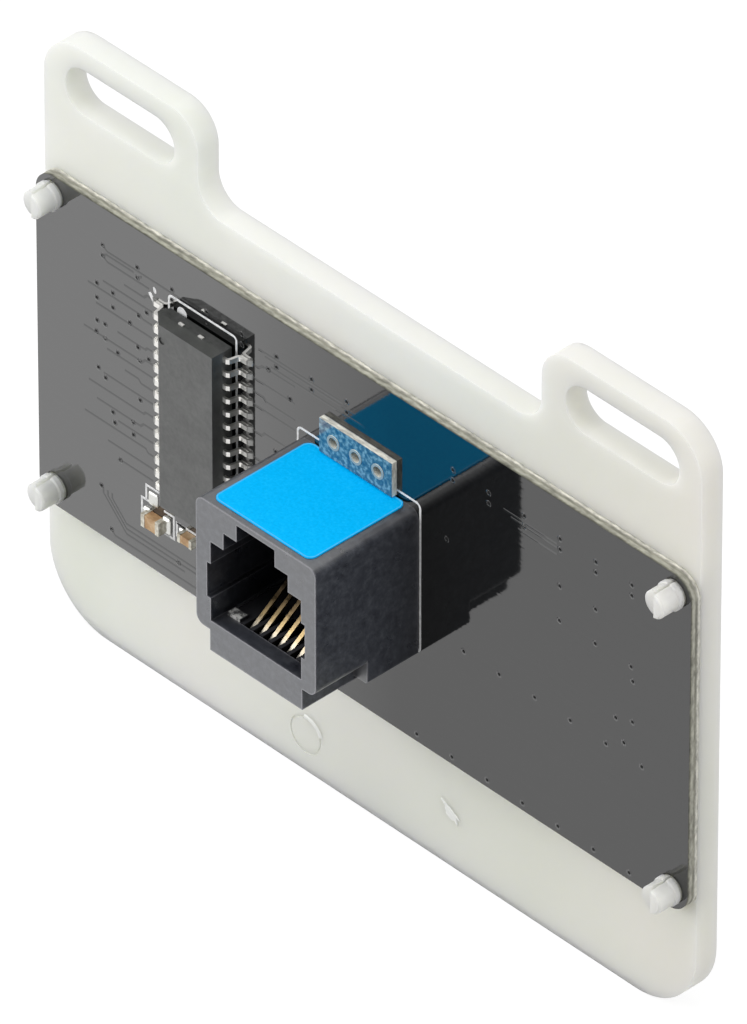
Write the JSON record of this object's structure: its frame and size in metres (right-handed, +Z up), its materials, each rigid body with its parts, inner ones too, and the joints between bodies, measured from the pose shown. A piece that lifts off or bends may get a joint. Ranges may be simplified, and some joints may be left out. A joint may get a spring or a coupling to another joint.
{
  "type": "led dot matrix module",
  "caption": "LED dot matrix module: milky light panel with two slotted ears over a small circuit board with a driver chip and a modular plug socket.",
  "frame": {"origin": "midway between the centres of the two ear slots, on the light panel's front face", "axes": "+X along the module, +Y out of the lit front face, +Z up from the board towards the ears"},
  "size_m": [0.072, 0.014, 0.056],
  "materials": {
    "milky_panel": "milky translucent moulded plastic",
    "black_board": "glossy black solder mask over glass laminate",
    "light_resin": "clear resin on a white carrier",
    "chip_resin": "matt black moulded resin",
    "tin_plate": "bright tin plate",
    "solder": "bright solder",
    "gold_plate": "thin gold plate",
    "socket_plastic": "matt black moulded plastic",
    "blue_label": "bright blue printed film",
    "tan_ceramic": "fired tan ceramic"
  },
  "bodies": {
    "root": {"diffuser_panel": "milky_panel", "circuit_board": "black_board", "light_row_1": "light_resin", "light_row_2": "light_resin", "light_row_3": "light_resin", "light_row_4": "light_resin", "light_row_5": "light_resin", "light_row_6": "light_resin", "light_row_7": "light_resin", "light_row_8": "light_resin", "light_ends": "gold_plate", "driver_chip": "chip_resin", "chip_leads": "tin_plate", "chip_solder": "solder", "jack_housing": "socket_plastic", "jack_comb": "socket_plastic", "jack_contact_1": "gold_plate", "jack_contact_2": "gold_plate", "jack_contact_3": "gold_plate", "jack_contact_4": "gold_plate", "jack_contact_5": "gold_plate", "jack_contact_6": "gold_plate", "jack_solder": "solder", "jack_label": "blue_label", "solder_strip": "black_board", "strip_eyelets": "gold_plate", "large_capacitor": "tan_ceramic", "large_capacitor_ends": "tin_plate", "small_capacitor": "tan_ceramic", "small_capacitor_ends": "tin_plate"}
  },
  "joints": []
}
